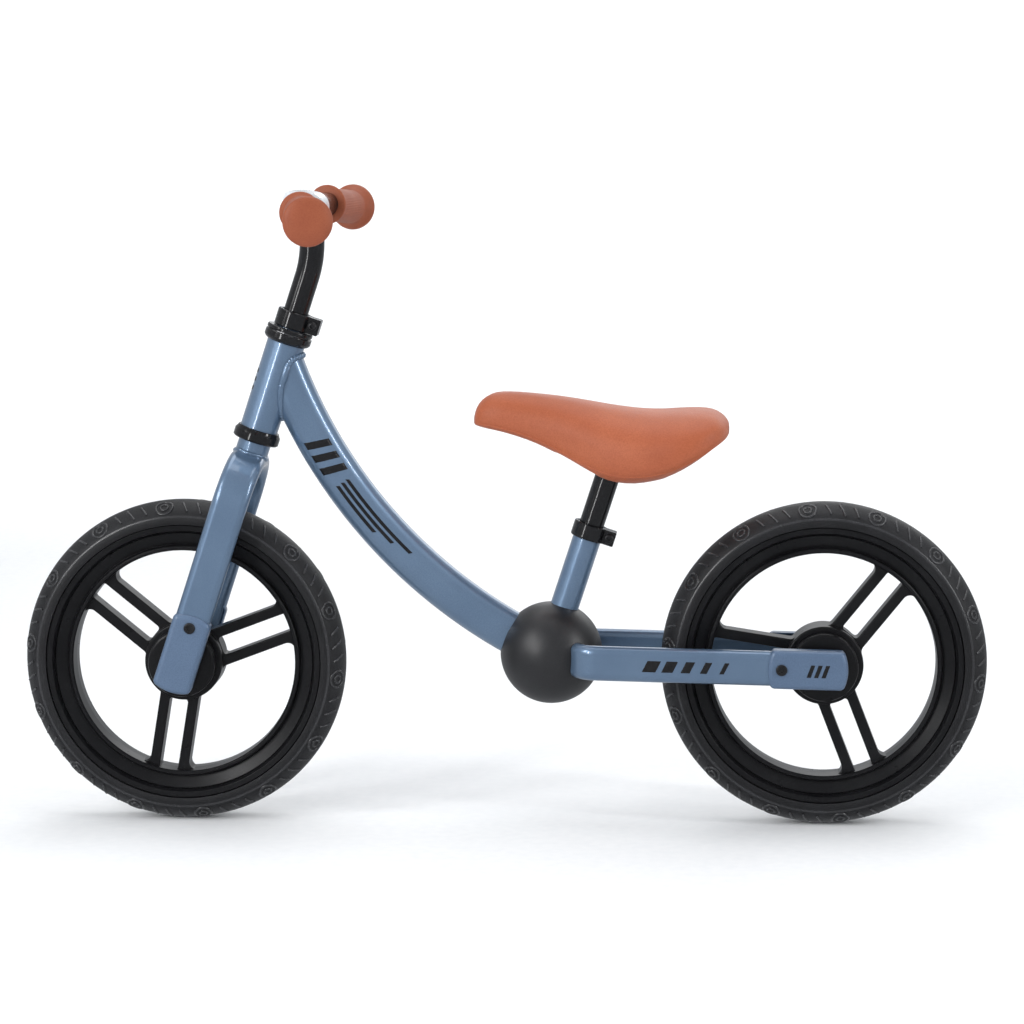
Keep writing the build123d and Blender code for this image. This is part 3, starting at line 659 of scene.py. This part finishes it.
def film(build, outline, place):
    """A thin closed film over a four-sided patch: outline(s, t) gives its two coordinates."""
    across, along = 10, 24
    base = len(build.verts)
    width = across + 1
    for height in (FILM_PROUD, -FILM_SUNK):
        for i in range(along + 1):
            build.verts += [place(*outline(i / along, k / across), height) for k in range(width)]

    def index(layer, i, k):
        return base + (layer * (along + 1) + i) * width + k

    for i in range(along):
        for k in range(across):
            corners = [(i, k), (i + 1, k), (i + 1, k + 1), (i, k + 1)]
            build.faces.append(tuple(index(0, *corner) for corner in corners))
            build.faces.append(tuple(index(1, *corners[n]) for n in (0, 3, 2, 1)))
    for i in range(along):
        for k in (0, across):
            quad = (index(0, i, k), index(1, i, k), index(1, i + 1, k), index(0, i + 1, k))
            build.faces.append(quad if k == 0 else quad[::-1])
    for k in range(across):
        for i in (0, along):
            quad = (index(0, i, k), index(0, i, k + 1), index(1, i, k + 1), index(1, i, k))
            build.faces.append(quad if i == 0 else quad[::-1])


def slanted_bar(start, length, half_width, slant=0.0, middle=0.0):
    """A bar along u about v = middle, its ends leaning by slant; all in mm."""

    def outline(s, t):
        u = start + length * s + slant * (t - 0.5)
        v = middle + half_width * (2 * t - 1)
        return u * MM, v * MM

    return outline


def main_tube_place(side):
    """Maps (distance down the tube, offset across it) to a side of the main tube."""

    def place(u, v, lift):
        angle = radians(207.0) + u / TUBE_R
        beyond = max(0.0, abs(v) - TUBE_FLAT)
        reach = TUBE_HALF_THICK + lift
        over = beyond / TUBE_HALF_THICK
        r = TUBE_R + (copysign(TUBE_FLAT + reach * sin(over), v) if beyond else v)
        y = reach * cos(over)
        return Vector((TUBE_CENTRE.x + r * cos(angle), side * y, TUBE_CENTRE.z + r * sin(angle)))

    return place


def arm_place(side, face_y, start):
    """Maps (distance rearwards, height) to the flat side of the rear fork or its cover."""

    def place(u, v, lift):
        return Vector((start.x + u, side * (face_y + lift), start.z + v - ARM_FALL * u))

    return place


def head_tube_place(u, v, lift):
    """Maps (distance round the head tube, height above its middle) to its front."""
    around = u / HEAD_TUBE_R
    out = Vector((0, 1, 0)) * sin(around) - FORE * cos(around)
    return FRONT_AXLE + STEER_AXIS * (HEAD_TUBE_MIDDLE + v) + out * (HEAD_TUBE_R + lift)


def stripes(name, bars, place):
    """One black piece made of several printed bars."""
    build = Build()
    for outline in bars:
        film(build, outline, place)
    finish_piece(build.object(name, MATERIALS["black_gloss"]), "frame")


def make_graphics():
    """Plain slanted bars on the head tube, main tube, rear fork and rear covers."""
    head_bars = [slanted_bar(-8, 16, 2, middle=8 - 8 * k) for k in range(3)]
    tube_bars = [slanted_bar(18 + 13 * k, 7, 11, slant=-7) for k in range(3)]
    tube_bars += [slanted_bar(62, 88 - 18 * k, 1.5, slant=-2, middle=5.2 * (k - 1)) for k in range(3)]
    arm_bars = [slanted_bar(17 * k, 12 - 2 * k, 5, slant=5) for k in range(5)]
    cover_bars = [slanted_bar(6.5 * k, 3.6, 5.5, slant=4) for k in range(3)]
    arm_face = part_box("rear_fork")[1].y
    cover_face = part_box("rear_cover_right")[1].y
    stripes("head_stripes", head_bars, head_tube_place)
    for side, word in ((-1, "left"), (1, "right")):
        stripes(f"tube_stripes_{word}", tube_bars, main_tube_place(side))
        stripes(f"arm_stripes_{word}", arm_bars, arm_place(side, arm_face, ARM_STRIPES))
        stripes(f"cover_stripes_{word}", cover_bars, arm_place(side, cover_face, COVER_STRIPES))


# ------------------------------------------------------------------ saddle

SADDLE = [
    # x, top, skirt, half width, all mm
    (-24.6, 364.0, 359.0, 7.0),
    (-22.5, 373.0, 357.6, 13.0),
    (-18.0, 379.5, 356.2, 18.0),
    (-9.0, 385.3, 354.0, 22.0),
    (0.0, 387.0, 352.2, 24.0),
    (15.0, 386.4, 347.8, 26.5),
    (31.0, 385.0, 342.0, 30.0),
    (47.0, 383.3, 334.3, 35.0),
    (63.0, 381.0, 325.0, 42.0),
    (79.0, 378.2, 316.0, 49.5),
    (95.0, 375.2, 309.5, 56.0),
    (111.0, 372.8, 307.6, 61.0),
    (127.0, 371.0, 309.0, 64.5),
    (143.0, 370.8, 313.0, 66.8),
    (159.0, 371.8, 319.5, 68.0),
    (175.0, 372.3, 329.0, 65.5),
    (187.0, 371.2, 338.6, 59.0),
    (195.0, 366.9, 345.0, 48.0),
    (199.6, 362.2, 349.0, 33.0),
    (201.2, 358.4, 352.4, 18.0),
]
# the pocket below that takes the pan and bracket, in mm
POCKET = (51.0, 148.0)
POCKET_TOP = 340.6
POCKET_HALF = 33.6
TIGHT = 1.2 * MM  # how far the cover starts inside its form
SWELL_CAP = 3.0 * MM
SWELL_FRAMES = 12


def ease(value):
    """Smooth step from 0 to 1."""
    value = min(1.0, max(0.0, value))
    return value * value * (3 - 2 * value)


def saddle_station(x):
    """Top, skirt and half width of the saddle at a station between the listed ones."""
    at = next(k for k in range(1, len(SADDLE)) if SADDLE[k][0] >= x)
    before, after = SADDLE[at - 1], SADDLE[at]
    share = (x - before[0]) / (after[0] - before[0])
    return [a + (b - a) * share for a, b in zip(before, after)]


def saddle_ring(station):
    """One closed cross-section: crowned top, rounded flank, turned-in hem and the pocket below."""
    x, top, skirt, half = station
    belly = skirt + 0.36 * (top - skirt)
    in_pocket = POCKET[0] < x < POCKET[1]
    ring = []
    for n in range(48):
        t = pi * n / 47
        c, s = cos(t), max(0.0, sin(t))
        ring.append((half * copysign(abs(c) ** 0.82, c), belly + (top - belly) * s**0.92))
    for n in range(1, 40):
        t = pi + pi * n / 40
        c, s = cos(t), abs(sin(t))
        y = half * copysign(abs(c) ** 0.62, c)
        z = belly - (belly - skirt) * s**0.62
        hem = min(7.0, 0.3 * half)
        inner = min(POCKET_HALF + 1.5, half - hem) if in_pocket else half - hem
        tuck = ease((inner - abs(y)) / 3.0)
        floor = POCKET_TOP if in_pocket else skirt + min(2.5, 0.1 * (top - skirt))
        ring.append((y, z + (max(floor, z) - z) * tuck))
    return [Vector((x, y, z)) * MM for y, z in ring]


def make_saddle():
    """The padded saddle: a lofted form swelled by a short cloth simulation, with its hem and piping."""
    extra = [saddle_station(end + beside) for end in POCKET for beside in (-0.8, 0.8)]
    build = Build()
    stations = sorted([*SADDLE, *extra], key=lambda row: row[0])
    build.rings([saddle_ring(station) for station in stations])
    piece = build.object("saddle_padding", MATERIALS["saddle_cover"])
    smooth_up(piece)
    swell(piece)
    finish_piece(piece, "seat")
    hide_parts("saddle_cushion")
    make_piping(piece)


def make_piping(cover):
    """Welt sewn round the saddle's lower edge, laid on the finished cover."""
    mesh = cover.data
    tree = BVHTree.FromPolygons([v.co for v in mesh.vertices], [p.vertices[:] for p in mesh.polygons])
    near = [(x, half * 0.93, skirt + 0.14 * (top - skirt)) for x, top, skirt, half in SADDLE[1:-1]]
    loop = near + [(x, -y, z) for x, y, z in reversed(near)]
    path = []
    steps = 4
    for k, here in enumerate(loop):
        ahead = loop[(k + 1) % len(loop)]
        for n in range(steps):
            point = Vector(here).lerp(Vector(ahead), n / steps) * MM
            spot, normal = tree.find_nearest(point)[:2]
            path.append(spot + normal * 0.3 * MM)
    for _ in range(6):
        path = [(path[k - 1] + 2 * path[k] + path[(k + 1) % len(path)]) / 4 for k in range(len(path))]
    weld("saddle_piping", path, "seat", "saddle_cover", 1.1 * MM, 0.0)


def apply_all(obj):
    """Turn an object's modifiers into its mesh."""
    graph = bpy.context.evaluated_depsgraph_get()
    mesh = bpy.data.meshes.new_from_object(obj.evaluated_get(graph))
    obj.modifiers.clear()
    obj.data = mesh


def smooth_up(obj):
    """One even subdivision of the form."""
    sub = obj.modifiers.new("round", "SUBSURF")
    sub.levels = 1
    sub.render_levels = 1
    apply_all(obj)


def in_saddle_pocket(point):
    """True for points, in mm, on the walls and roof of the pocket below."""
    inside = POCKET[0] - 3 < point.x < POCKET[1] + 3 and abs(point.y) < POCKET_HALF + 4
    return inside and point.z < POCKET_TOP + 2


def swell(obj):
    """Blow the cover up a little from a tighter shape, as foam fills it, then hold it near the form."""
    target = [v.co.copy() for v in obj.data.vertices]
    for vert in obj.data.vertices:
        vert.co = vert.co - vert.normal * TIGHT
    start = [v.co.copy() for v in obj.data.vertices]
    pinned = obj.vertex_groups.new(name="pinned")
    low = [v.index for v in obj.data.vertices if v.normal.z < -0.5 or in_saddle_pocket(v.co / MM)]
    pinned.add(low, 1.0, "REPLACE")
    cloth = obj.modifiers.new("cloth", "CLOTH")
    cloth.settings.vertex_group_mass = "pinned"
    cloth.settings.use_pressure = True
    cloth.settings.uniform_pressure_force = 4.0
    cloth.settings.tension_stiffness = 40.0
    cloth.settings.compression_stiffness = 40.0
    cloth.settings.bending_stiffness = 6.0
    cloth.settings.effector_weights.gravity = 0.0
    cloth.settings.quality = 6
    scene = bpy.context.scene
    for number in range(1, SWELL_FRAMES + 1):
        scene.frame_set(number)
    graph = bpy.context.evaluated_depsgraph_get()
    blown = obj.evaluated_get(graph).to_mesh()
    moved = [v.co.copy() for v in blown.vertices]
    obj.modifiers.clear()
    obj.vertex_groups.clear()
    for vert, a, b, c in zip(obj.data.vertices, start, moved, target):
        step = b - a
        if step.length > SWELL_CAP:
            step = step * (SWELL_CAP / step.length)
        vert.co = (a + step) * 0.5 + c * 0.5
    scene.frame_set(1)
    obj.data.update()


# ------------------------------------------------------------------- build

bpy.context.scene.view_settings.view_transform = "Standard"
make_camera()
make_stage()
paint_cad_nodes()
make_tread("front", "front_wheel")
make_tread("rear", "rear_wheel")
make_grip(-1, "grip_left")
make_grip(1, "grip_right")
make_head_weld()
make_crown_weld()
make_bar_weld()
make_graphics()
make_saddle()
